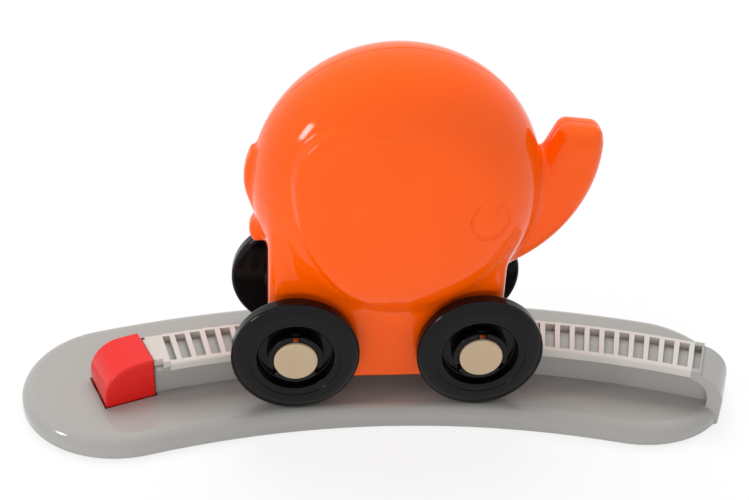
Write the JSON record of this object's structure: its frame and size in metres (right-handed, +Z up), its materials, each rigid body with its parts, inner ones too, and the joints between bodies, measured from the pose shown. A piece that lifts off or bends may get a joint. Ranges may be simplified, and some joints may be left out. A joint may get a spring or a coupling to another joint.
{
  "type": "toy elephant on a curved rack base",
  "caption": "Round-bodied toy elephant on wheels that rolls along a curved ladder rail on a rounded base, held on by a sprung push latch at one end of the rail.",
  "frame": {"origin": "on the table, on the track's centre line, under the middle of the elephant's wheels at rest", "axes": "+X along the track towards the trunk, +Y across it to the outside of the curve, +Z up"},
  "size_m": [0.2918, 0.0932, 0.1509],
  "materials": {
    "grey_abs": "injection moulded, polished mould, light grey",
    "ladder_grey_abs": "injection moulded, satin, warm pale grey",
    "orange_abs": "injection moulded, polished mould, orange",
    "black_abs": "injection moulded, glossy black",
    "cream_abs": "injection moulded, satin, cream",
    "red_abs": "injection moulded, glossy red",
    "white_acetal": "injection moulded, satin, natural white",
    "zinc_steel": "zinc plated",
    "spring_steel": "drawn and tempered",
    "black_rubber": "moulded, matt"
  },
  "bodies": {
    "base": {"base_shell": "grey_abs", "rack_ladder": "ladder_grey_abs", "base_cover": "grey_abs", "base_screws": "zinc_steel", "rubber_feet": "black_rubber", "latch_stop_screw": "zinc_steel", "latch_spring": "spring_steel"},
    "latch": {"latch_button": "red_abs", "latch_guide_plate": "white_acetal"},
    "elephant": {"near_shell": "orange_abs", "far_shell": "orange_abs", "shell_screws": "zinc_steel", "rail_shoe": "orange_abs", "shoe_screws": "zinc_steel", "axle_screws": "zinc_steel", "pinion_shaft": "zinc_steel", "click_spring": "spring_steel", "click_screw": "zinc_steel", "stub_front_near": "cream_abs", "stub_front_far": "cream_abs", "stub_rear_near": "cream_abs", "stub_rear_far": "cream_abs"},
    "pinion": {"drive_pinion": "white_acetal"},
    "wheel_front_near": {"wheel_front_near": "black_abs"},
    "wheel_front_far": {"wheel_front_far": "black_abs"},
    "wheel_rear_near": {"wheel_rear_near": "black_abs"},
    "wheel_rear_far": {"wheel_rear_far": "black_abs"}
  },
  "joints": [
    {"name": "elephant_travel", "type": "hinge", "parent": "base", "child": "elephant", "pos_m": [0, -0.3605, 0], "axis": [0, 0, -1], "range_deg": [-7.3, 13.4]},
    {"name": "latch_press", "type": "slide", "parent": "base", "child": "latch", "axis": [0, 0, -1], "range_m": [0, 0.007], "stiffness_N_per_m": 400, "springref_m": -0.003, "deforming": ["latch_spring"]},
    {"name": "pinion_spin", "type": "hinge", "parent": "elephant", "child": "pinion", "pos_m": [0, 0, 0.03524], "axis": [0, 1, 0], "range_deg": [-228.5, 419], "deforming": ["click_spring"]},
    {"name": "wheel_front_near_roll", "type": "hinge", "parent": "elephant", "child": "wheel_front_near", "pos_m": [0.03615, -0.02793, 0.03408], "axis": [0, 1, 0], "range_deg": [-97.6, 178.8]},
    {"name": "wheel_front_far_roll", "type": "hinge", "parent": "elephant", "child": "wheel_front_far", "pos_m": [0.03615, 0.02793, 0.03408], "axis": [0, 1, 0], "range_deg": [-113.9, 208.7]},
    {"name": "wheel_rear_near_roll", "type": "hinge", "parent": "elephant", "child": "wheel_rear_near", "pos_m": [-0.03615, -0.02793, 0.03408], "axis": [0, 1, 0], "range_deg": [-97.6, 178.8]},
    {"name": "wheel_rear_far_roll", "type": "hinge", "parent": "elephant", "child": "wheel_rear_far", "pos_m": [-0.03615, 0.02793, 0.03408], "axis": [0, 1, 0], "range_deg": [-113.9, 208.7]}
  ],
  "couplings": [
    {"joint": "pinion_spin", "follows": "elephant_travel", "ratio": 31.23},
    {"joint": "wheel_front_near_roll", "follows": "elephant_travel", "ratio": 13.303},
    {"joint": "wheel_front_far_roll", "follows": "elephant_travel", "ratio": 15.537},
    {"joint": "wheel_rear_near_roll", "follows": "elephant_travel", "ratio": 13.303},
    {"joint": "wheel_rear_far_roll", "follows": "elephant_travel", "ratio": 15.537}
  ]
}
